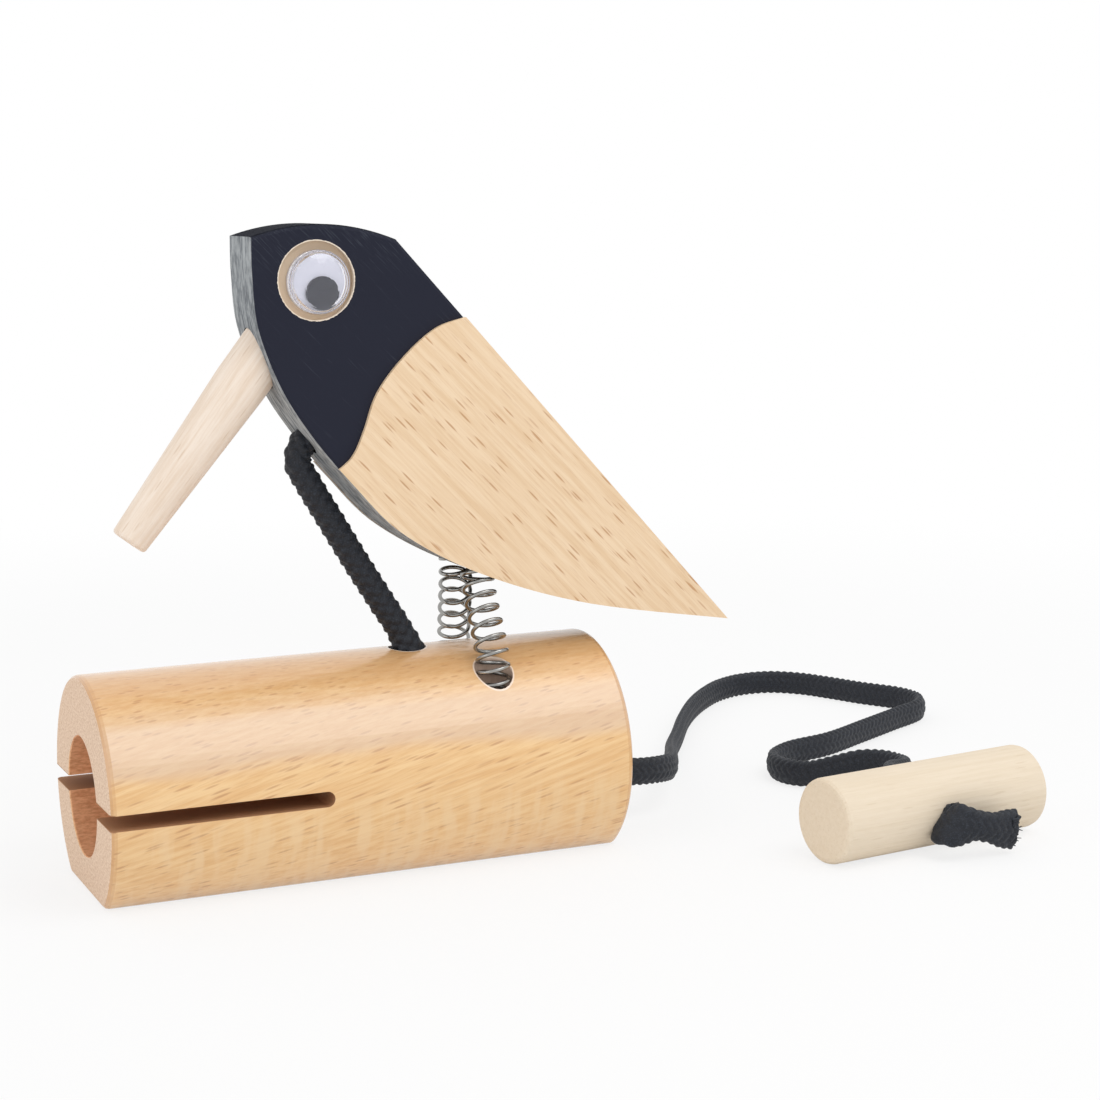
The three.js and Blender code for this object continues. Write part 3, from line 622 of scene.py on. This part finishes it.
class Graph:
    """A material's nodes, built in small steps that each give back a socket."""

    def __init__(self, name):
        self.material = bpy.data.materials.new(name)
        self.material.use_nodes = True
        self.tree = self.material.node_tree
        self.shader = self.tree.nodes["Principled BSDF"]

    def put(self, socket, value):
        if isinstance(value, bpy.types.NodeSocket):
            self.tree.links.new(value, socket)
        else:
            socket.default_value = value

    def node(self, kind, inputs, **settings):
        made = self.tree.nodes.new(kind)
        for key, value in settings.items():
            setattr(made, key, value)
        for key, value in inputs.items():
            self.put(made.inputs[key], value)
        return made

    def surface(self, **inputs):
        for key, value in inputs.items():
            self.put(self.shader.inputs[key.replace("_", " ")], value)

    def place(self):
        return self.node("ShaderNodeTexCoord", {}).outputs["Object"]

    def facing(self):
        return self.node("ShaderNodeTexCoord", {}).outputs["Normal"]

    def parts(self, vector):
        return self.node("ShaderNodeSeparateXYZ", {0: vector}).outputs

    def join(self, x, y, z):
        return self.node("ShaderNodeCombineXYZ", {0: x, 1: y, 2: z}).outputs[0]

    def math(self, operation, a, b=0.0, c=0.0):
        return self.node("ShaderNodeMath", {0: a, 1: b, 2: c}, operation=operation).outputs[0]

    def times(self, first, *others):
        for other in others:
            first = self.math("MULTIPLY", first, other)
        return first

    def ramp(self, share, start, end):
        """The start where a share is 0, the end where it is 1."""
        return self.math("MULTIPLY_ADD", share, end - start, start)

    def length(self, a, b):
        """The length of a flat vector of two numbers."""
        joined = self.join(a, b, 0.0)
        return self.node("ShaderNodeVectorMath", {0: joined}, operation="LENGTH").outputs["Value"]

    def dot(self, vector, direction):
        made = self.node("ShaderNodeVectorMath", {0: vector, 1: direction}, operation="DOT_PRODUCT")
        return made.outputs["Value"]

    def scaled(self, vector, scale):
        return self.node("ShaderNodeVectorMath", {0: vector, 1: scale}, operation="MULTIPLY").outputs[0]

    def smooth(self, value, low, high):
        """0 up to low, 1 from high on, smooth between; the other way round where high is the lower."""
        ends = {1: min(low, high), 2: max(low, high), 3: float(low > high), 4: float(low < high)}
        made = self.node("ShaderNodeMapRange", {0: value, **ends}, interpolation_type="SMOOTHSTEP")
        return made.outputs[0]

    def noise(self, vector, detail=2.0, roughness=0.5):
        inputs = {"Vector": vector, "Scale": 1.0, "Detail": detail, "Roughness": roughness}
        return self.node("ShaderNodeTexNoise", inputs).outputs[0]

    def pattern(self, scale, detail=2.0, roughness=0.5):
        """Noise with a number of cells per metre along x, y and z."""
        return self.noise(self.scaled(self.place(), scale), detail, roughness)

    def cells(self, vector):
        return self.node("ShaderNodeTexVoronoi", {"Vector": vector, "Scale": 1.0}).outputs

    def mix(self, share, a, b):
        made = self.node("ShaderNodeMix", {0: share, 6: a, 7: b}, data_type="RGBA")
        return made.outputs[2]

    def bump(self, height, distance, strength):
        inputs = {"Height": height, "Distance": distance, "Strength": strength}
        return self.node("ShaderNodeBump", inputs).outputs[0]

    def along(self, axis):
        """Metres along an axis and across it, for a grain that runs along the axis."""
        ahead = Vector(axis).normalized()
        side = ahead.orthogonal().normalized()
        up = ahead.cross(side)
        place = self.place()
        return self.join(*(self.dot(place, tuple(direction)) for direction in (ahead, side, up)))


def beech(graph, axis, tones, fleck_share, fleck_size):
    """Colour and relief of beech: slow streaks, fine fibres and short brown flecks along the grain."""
    pale, deep, fleck = tones
    grain = graph.along(axis)
    streak = graph.noise(graph.scaled(grain, WOOD_STREAKS), detail=3.0, roughness=0.6)
    fibre = graph.noise(graph.scaled(grain, WOOD_FIBRES), roughness=0.6)
    cells = graph.cells(graph.scaled(grain, WOOD_FLECKS))
    spot = graph.smooth(cells["Distance"], fleck_size, FLECK_CORE * fleck_size)
    chance = graph.smooth(graph.parts(cells["Color"])[0], *WOOD_FLECKS_SHOW)
    flecks = graph.times(spot, chance, fleck_share)
    tone = graph.mix(graph.smooth(streak, *WOOD_STREAKS_SHOW), pale, deep)
    fibres = graph.times(graph.smooth(fibre, *WOOD_FIBRES_SHOW), FIBRE_SHARE)
    tone = graph.mix(fibres, tone, fleck)
    colour = graph.mix(flecks, tone, fleck)
    relief = graph.math("SUBTRACT", graph.times(fibre, FIBRE_RELIEF), flecks)
    return colour, relief


def inside(graph, distance, limit):
    """1 up to a distance and just past it, 0 beyond."""
    return graph.smooth(distance, limit + 2 * WALL_MARGIN, limit + WALL_MARGIN)


def below_skin(graph, out, radius, depths):
    """0 on the block's round skin, 1 from the deeper of two depths on."""
    return graph.smooth(out, radius - depths[0], radius - depths[1])


def bore_walls(graph, x, out):
    """1 on the wall and the end of the block's bore."""
    return graph.times(inside(graph, out, BORE_RADIUS), inside(graph, x, BORE_END))


def holes_and_rims(graph, x, y, z, rim):
    """1 in the cord's and the springs' holes and on a rim round each of them."""
    from_shaft = graph.length(graph.math("SUBTRACT", x, CORD_HOLE_X), y)
    from_duct = graph.length(y, graph.math("SUBTRACT", z, CORD_DUCT_HEIGHT))
    shaft = inside(graph, from_shaft, CORD_HOLE_RADIUS + rim)
    duct = inside(graph, from_duct, CORD_HOLE_RADIUS + rim)
    holes = graph.math("MAXIMUM", shaft, duct)
    for name, side in SIDES:
        away_x = graph.math("SUBTRACT", x, SPRING_X + SPRING_FOOT_SHIFT[name])
        away_y = graph.math("SUBTRACT", y, side * SPRING_FOOT_Y)
        spring_hole = inside(graph, graph.length(away_x, away_y), SPRING_HOLE_RADIUS + rim)
        holes = graph.math("MAXIMUM", holes, spring_hole)
    return graph.times(holes, graph.smooth(z, *HOLES_FROM_HEIGHT))


def slit_walls(graph, x, up):
    """1 in the sawn slit and its rounded end."""
    past_end = graph.math("MAXIMUM", graph.math("SUBTRACT", x, SLIT_END - SLIT_HALF_HEIGHT), 0.0)
    return inside(graph, graph.length(past_end, up), SLIT_HALF_HEIGHT)


def block_skin(graph, colour, up):
    """The varnished skin: pale ripple on its lower side, then a painted highlight along the shoulder
    and darker towards the top.
    """
    height = graph.math("MULTIPLY_ADD", graph.pattern(BLOCK_WANDER), WANDER_HEIGHT, up)
    ripple = graph.smooth(graph.pattern(BLOCK_RIPPLE), *BLOCK_RIPPLE_SHOW)
    ripple = graph.times(ripple, graph.smooth(up, *RIPPLE_FADE), RIPPLE_SHARE)
    # Painted highlight: a paler band along the shoulder, where the softbox's reflection falls
    painted_highlight = graph.smooth(height, *PAINTED_HIGHLIGHT_RISE)
    painted_highlight = graph.times(painted_highlight, graph.smooth(height, *PAINTED_HIGHLIGHT_FADE), PAINTED_HIGHLIGHT_SHARE)
    # Darker towards the top of the block
    top_band = graph.times(graph.smooth(height, *TOP_BAND_RISE), TOP_BAND_SHARE)
    colour = graph.mix(ripple, colour, RIPPLE_TONE)
    colour = graph.mix(painted_highlight, colour, PAINTED_HIGHLIGHT_TONE)
    return graph.mix(top_band, colour, TOP_BAND_TONE)


def block_ends(graph, colour, out):
    """The ends, darker on their rounded edges, with bare end grain. Gives also 1 on the end grain."""
    facing_x = graph.math("ABSOLUTE", graph.parts(graph.facing())[0])
    from_bore = [BORE_RADIUS + distance for distance in END_EDGE_FROM_BORE]
    edge = graph.times(graph.smooth(facing_x, *END_EDGE_FACING), END_EDGE_SHARE)
    edge = graph.times(edge, graph.smooth(out, *from_bore))
    end = graph.smooth(facing_x, *END_FACING)
    pores = graph.smooth(graph.pattern(END_PORES, detail=4.0, roughness=0.7), *END_PORES_SHOW)
    colour = graph.mix(edge, colour, END_EDGE_TONE)
    return graph.mix(end, colour, graph.mix(pores, *END_TONES)), end


def block_wood():
    """Varnished beech, bare on its ends and in the bore, the slit and the holes."""
    graph = Graph("block_beech")
    low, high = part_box("tone_block")
    radius = (high.y - low.y) / 2
    x, y, z = graph.parts(graph.place())
    up = graph.math("SUBTRACT", z, high.z - radius)
    out = graph.length(y, up)
    colour, relief = beech(graph, **BLOCK_WOOD)
    colour = block_skin(graph, colour, up)
    colour, end = block_ends(graph, colour, out)
    slit = graph.times(slit_walls(graph, x, up), below_skin(graph, out, radius, SLIT_WALL_DEPTH))
    # Pale rim round each hole: bare wood at the lip, with a painted highlight where the rounded lip
    # would catch the light
    rims_and_highlights = graph.times(holes_and_rims(graph, x, y, z, HOLE_RIM), RIM_AND_HIGHLIGHT_SHARE)
    holes = holes_and_rims(graph, x, y, z, 0.0)
    holes = graph.times(holes, below_skin(graph, out, radius, HOLE_WALL_DEPTH))
    bore = bore_walls(graph, x, out)
    fuzz = graph.smooth(graph.pattern(BORE_FUZZ, detail=3.0, roughness=0.7), *BORE_FUZZ_SHOW)
    colour = graph.mix(slit, colour, SLIT_TONE)
    colour = graph.mix(rims_and_highlights, colour, RIM_AND_HIGHLIGHT_TONE)
    colour = graph.mix(holes, colour, HOLE_TONE)
    colour = graph.mix(bore, colour, graph.mix(fuzz, *BORE_TONES))
    bare = graph.math("MAXIMUM", graph.math("MAXIMUM", end, slit), graph.math("MAXIMUM", bore, holes))
    graph.surface(
        Base_Color=colour,
        Roughness=graph.ramp(bare, VARNISH_ROUGHNESS, BARE_BLOCK_ROUGHNESS),
        Specular_IOR_Level=0.3,
        Coat_Weight=graph.math("SUBTRACT", 1.0, bare),
        Coat_Roughness=0.17,
        Normal=graph.bump(relief, distance=0.06 * MM, strength=0.25),
    )
    return graph.material


def dowel_wood(name, wood, roughness):
    """Bare pale dowel, with its grain along its length."""
    graph = Graph(name)
    colour, relief = beech(graph, **wood)
    graph.surface(
        Base_Color=colour,
        Roughness=roughness,
        Specular_IOR_Level=0.25,
        Normal=graph.bump(relief, distance=0.06 * MM, strength=0.3),
    )
    return graph.material


def board_edge(graph, facing_y):
    """1 on the sawn edges of a board that stands upright along the bird, 0 on its flat sides."""
    return graph.smooth(graph.math("ABSOLUTE", facing_y), *BOARD_EDGE_FACING)


def worn_grey(graph):
    """Grey of paint that is rubbed down on an edge, in the board's layers and in patches."""
    layers = graph.pattern(EDGE_LAYERS, detail=3.0, roughness=0.6)
    patches = graph.pattern(EDGE_PATCHES, detail=3.0, roughness=0.6)
    worn = graph.math("MULTIPLY_ADD", layers, 0.5, graph.times(patches, 0.5))
    return graph.mix(graph.smooth(worn, *EDGE_WEAR_SHOW), *WORN_TONES)


def wing_wood():
    """Bare beech, worn grey on the edges along the breast like the board between the wings."""
    graph = Graph("wing_beech")
    colour, relief = beech(graph, **WING_WOOD)
    facing_x, facing_y, facing_z = graph.parts(graph.facing())
    front = graph.smooth(facing_x, *FRONT_FACING)
    breast = graph.times(front, graph.smooth(facing_z, *BREAST_FACING))
    colour = graph.mix(graph.times(board_edge(graph, facing_y), breast), colour, worn_grey(graph))
    graph.surface(
        Base_Color=colour,
        Roughness=0.5,
        Specular_IOR_Level=0.25,
        Coat_Weight=0.1,
        Coat_Roughness=0.3,
        Normal=graph.bump(relief, distance=0.06 * MM, strength=0.3),
    )
    return graph.material


def eye_recesses(graph, colour, side_height):
    """Bare wood in the eye recesses, with a pale chipped rim round each of them."""
    x, y, z = graph.parts(graph.place())
    from_eye = graph.length(
        graph.math("SUBTRACT", x, EYE_PLACE[0]),
        graph.math("SUBTRACT", z, EYE_PLACE[1]),
    )
    chips = graph.times(graph.pattern(PAINT_CHIPS), EYE_RIM_CHIPS)
    from_eye = graph.math("SUBTRACT", from_eye, chips)
    bare = graph.smooth(from_eye, EYE_RECESS_RADIUS + EYE_RIM, EYE_RECESS_RADIUS)
    depths = [side_height - depth for depth in EYE_RIM_DEPTH]
    recess_floor = graph.smooth(graph.math("ABSOLUTE", y), *depths)
    return graph.mix(bare, colour, graph.mix(recess_floor, *RECESS_TONES))


def bird_paint():
    """Black paint over the grain, scratched at the crown and rubbed grey on the front edge."""
    graph = Graph("black_paint")
    _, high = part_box("bird_body")
    grain = graph.along(WING_GRAIN)
    streak = graph.noise(graph.scaled(grain, PAINT_STREAKS), detail=3.0, roughness=0.65)
    scratch = graph.noise(graph.scaled(grain, PAINT_SCRATCHES), roughness=0.6)
    height = graph.parts(graph.place())[2]
    crown = graph.smooth(height, *(high.z - drop for drop in SCRATCHES_FROM_TOP))
    scratches = graph.times(graph.smooth(scratch, *PAINT_SCRATCHES_SHOW), crown)
    paint = graph.mix(graph.smooth(streak, *PAINT_STREAKS_SHOW), *PAINT_TONES)
    paint = graph.mix(scratches, paint, SCRATCH_TONE)
    facing_x, facing_y, facing_z = graph.parts(graph.facing())
    front = graph.smooth(facing_x, *FRONT_FACING)
    front = graph.times(front, graph.smooth(facing_z, *NOT_CROWN_FACING))
    sawn = graph.mix(graph.smooth(streak, *SAWN_STREAKS_SHOW), *SAWN_TONES)
    edge = board_edge(graph, facing_y)
    colour = graph.mix(edge, paint, graph.mix(front, sawn, worn_grey(graph)))
    graph.surface(
        Base_Color=eye_recesses(graph, colour, high.y),
        Roughness=graph.ramp(edge, PAINT_ROUGHNESS, PAINT_EDGE_ROUGHNESS),
        Specular_IOR_Level=0.06,
        Normal=graph.bump(streak, distance=0.05 * MM, strength=0.2),
    )
    return graph.material


def cord_fabric():
    """Black polyester braid, with fine pale fibres."""
    graph = Graph("black_cord")
    fine = graph.pattern(CORD_FIBRES, detail=3.0, roughness=0.7)
    graph.surface(
        Base_Color=graph.mix(graph.smooth(fine, *CORD_FIBRES_SHOW), *CORD_TONES),
        Roughness=0.6,
        Specular_IOR_Level=0.4,
        Sheen_Weight=0.08,
        Sheen_Roughness=0.5,
        Normal=graph.bump(fine, distance=0.08 * MM, strength=0.5),
    )
    return graph.material


def spring_steel():
    """Drawn wire, with faint marks along it."""
    graph = Graph("spring_steel")
    drawn = graph.pattern(WIRE_MARKS)
    graph.surface(
        Base_Color=graph.mix(drawn, *STEEL_TONES),
        Metallic=1.0,
        Roughness=0.2,
        Normal=graph.bump(drawn, distance=0.02 * MM, strength=0.15),
    )
    return graph.material


def eye_white():
    """White plastic of the eyes' cups."""
    graph = Graph("eye_white")
    cloud = graph.pattern(EYE_CLOUD)
    graph.surface(
        Base_Color=graph.mix(cloud, *EYE_WHITE_TONES),
        Roughness=0.3,
        Normal=graph.bump(cloud, distance=0.02 * MM, strength=0.1),
    )
    return graph.material


def eye_clear():
    """Clear plastic of the eyes' domes."""
    graph = Graph("eye_clear")
    graph.surface(
        Base_Color=EYE_CLEAR_TONE,
        Roughness=graph.times(graph.pattern(DOME_HAZE), DOME_HAZE_ROUGHNESS),
        IOR=1.49,
        Transmission_Weight=1.0,
    )
    return graph.material


def pupil_black():
    """Black plastic of the loose pupils."""
    graph = Graph("pupil_black")
    cloud = graph.pattern(PUPIL_CLOUD)
    graph.surface(
        Base_Color=graph.mix(cloud, *PUPIL_TONES),
        Roughness=0.3,
        Normal=graph.bump(cloud, distance=0.01 * MM, strength=0.1),
    )
    return graph.material


def dress(material, slot, *names):
    """Gives CAD nodes a material; the slot that it stands for is not used."""
    for name in names:
        piece = nodes[name]
        piece.data.materials.clear()
        piece.data.materials.append(material)


def finish_piece(piece, material):
    """Gives a new piece its material."""
    piece.data.materials.append(material)


# Stage

def camera():
    """The camera at its place, turned by its heading, its drop and its roll."""
    made = bpy.data.objects.new("camera", bpy.data.cameras.new("camera"))
    bpy.context.scene.collection.objects.link(made)
    made.data.lens = CAMERA_LENS
    made.data.sensor_width = CAMERA_SENSOR
    made.data.clip_start, made.data.clip_end = CAMERA_CLIP
    heading = Matrix.Rotation(-CAMERA_HEADING, 4, "Z")
    pitch = Matrix.Rotation(math.pi / 2 - CAMERA_DROP, 4, "X")
    roll = Matrix.Rotation(CAMERA_ROLL, 4, "Z")
    made.matrix_world = Matrix.Translation(CAMERA_PLACE) @ heading @ pitch @ roll
    bpy.context.scene.camera = made


def lamp(name, place, aim, size, watts):
    """A flat lamp that faces a point."""
    made = bpy.data.objects.new(name, bpy.data.lights.new(name, "AREA"))
    bpy.context.scene.collection.objects.link(made)
    made.data.shape = "RECTANGLE"
    made.data.size, made.data.size_y = size
    made.data.energy = watts
    made.location = place
    made.rotation_euler = (Vector(aim) - Vector(place)).to_track_quat("-Z", "Y").to_euler()


def seen_directly(tree):
    """1 for what is seen, straight, mirrored or through glass, 0 for light that falls on the object."""
    path = tree.nodes.new("ShaderNodeLightPath")
    total = path.outputs["Is Camera Ray"]
    for name in ("Is Glossy Ray", "Is Transmission Ray"):
        add = tree.nodes.new("ShaderNodeMath")
        add.operation = "MAXIMUM"
        tree.links.new(total, add.inputs[0])
        tree.links.new(path.outputs[name], add.inputs[1])
        total = add.outputs[0]
    return total


def world():
    """White all round to the eye, with a softer fill on the object."""
    made = bpy.data.worlds.new("studio")
    bpy.context.scene.world = made
    made.use_nodes = True
    tree = made.node_tree
    background = tree.nodes["Background"]
    background.inputs["Color"].default_value = (1, 1, 1, 1)
    strength = tree.nodes.new("ShaderNodeMapRange")
    strength.inputs["To Min"].default_value = WORLD_FILL
    strength.inputs["To Max"].default_value = 1.0
    tree.links.new(seen_directly(tree), strength.inputs["Value"])
    tree.links.new(strength.outputs[0], background.inputs["Strength"])


def floor():
    """A pale floor that keeps the object's shadow and fades to white further out."""
    bpy.ops.mesh.primitive_circle_add(
        vertices=FLOOR_SIDES,
        radius=FLOOR_RADIUS,
        fill_type="NGON",
        location=(0, 0, -FLOOR_SINK),
    )
    made = bpy.context.object
    made.name = "floor"
    graph = Graph("pale_floor")
    graph.surface(Base_Color=FLOOR_TONE, Roughness=0.9)
    x, y, _ = graph.parts(graph.place())
    far = graph.smooth(graph.length(x, y), *FLOOR_GLOW_REACH)
    shine = graph.times(
        seen_directly(graph.tree),
        graph.ramp(far, FLOOR_GLOW_NEAR, FLOOR_GLOW_FAR),
    )
    plain = graph.shader.outputs[0]
    glow = graph.node("ShaderNodeEmission", {"Strength": 1.0}).outputs[0]
    both = graph.node("ShaderNodeMixShader", {0: shine, 1: plain, 2: glow})
    graph.put(graph.tree.nodes["Material Output"].inputs["Surface"], both.outputs[0])
    made.data.materials.append(graph.material)


camera()
bpy.context.scene.view_settings.view_transform = "Standard"

cord_black = cord_fabric()
free_cord, free_path, free_length = pull_cord()
tail = cord_tail()
for cord_piece in (free_cord, tail, chest_cord(), duct_cord()):
    finish_piece(cord_piece, cord_black)

steel = spring_steel()
for name, side in SIDES:
    finish_piece(spring(name, side), steel)

dress(block_wood(), "block_beech", "tone_block")
dress(bird_paint(), "black_paint", "bird_body")
dress(wing_wood(), "wing_beech", "wing_left", "wing_right")
dress(dowel_wood("beak_dowel", BEAK_WOOD, roughness=0.6), "pale_dowel", "beak")
dress(dowel_wood("toggle_dowel", TOGGLE_WOOD, roughness=0.65), "pale_dowel", "toggle")
dress(eye_white(), "eye_white", "eye_cup_left", "eye_cup_right")
dress(pupil_black(), "pupil_black", "pupil_left", "pupil_right")
dress(eye_clear(), "eye_clear", "eye_dome_left", "eye_dome_right")
for name in ("eye_dome_left", "eye_dome_right"):
    nodes[name].visible_shadow = False

floor()
world()
lamp("softbox", **SOFTBOX)
lamp("side_fill", **SIDE_FILL)
